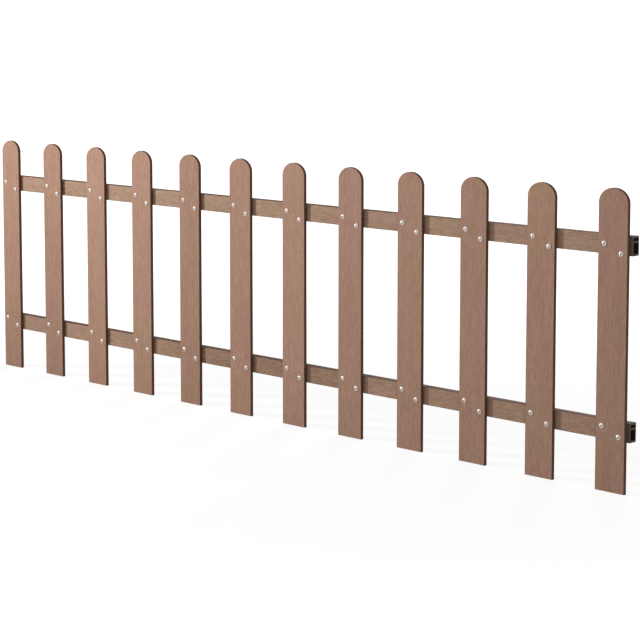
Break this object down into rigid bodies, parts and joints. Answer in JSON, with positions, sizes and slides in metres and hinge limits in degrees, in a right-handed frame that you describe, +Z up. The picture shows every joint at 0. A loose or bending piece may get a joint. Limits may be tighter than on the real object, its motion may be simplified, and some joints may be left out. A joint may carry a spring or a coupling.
{
  "type": "composite picket fence panel",
  "caption": "Low garden fence panel of upright round-topped composite pickets screwed to two hollow horizontal rails with black moulded end caps.",
  "frame": {"origin": "on the flat outer face of the lower left end cap, in the middle of its cross rib", "axes": "+X along the panel to its right end, +Y from the pickets' front to the back, +Z up"},
  "size_m": [2, 0.0306, 0.6],
  "materials": {
    "picket_board": "brushed matte",
    "rail_board": "brushed matte",
    "black_moulding": "moulded matte",
    "zinc_steel": "bright zinc plated"
  },
  "bodies": {
    "root": {"picket_01": "picket_board", "picket_02": "picket_board", "picket_03": "picket_board", "picket_04": "picket_board", "picket_05": "picket_board", "picket_06": "picket_board", "picket_07": "picket_board", "picket_08": "picket_board", "picket_09": "picket_board", "picket_10": "picket_board", "picket_11": "picket_board", "picket_12": "picket_board", "upper_rail": "rail_board", "lower_rail": "rail_board", "upper_left_end_cap": "black_moulding", "upper_right_end_cap": "black_moulding", "lower_left_end_cap": "black_moulding", "lower_right_end_cap": "black_moulding", "picket_screws_01": "zinc_steel", "picket_screws_02": "zinc_steel", "picket_screws_03": "zinc_steel", "picket_screws_04": "zinc_steel", "picket_screws_05": "zinc_steel", "picket_screws_06": "zinc_steel", "picket_screws_07": "zinc_steel", "picket_screws_08": "zinc_steel", "picket_screws_09": "zinc_steel", "picket_screws_10": "zinc_steel", "picket_screws_11": "zinc_steel", "picket_screws_12": "zinc_steel"}
  },
  "joints": []
}
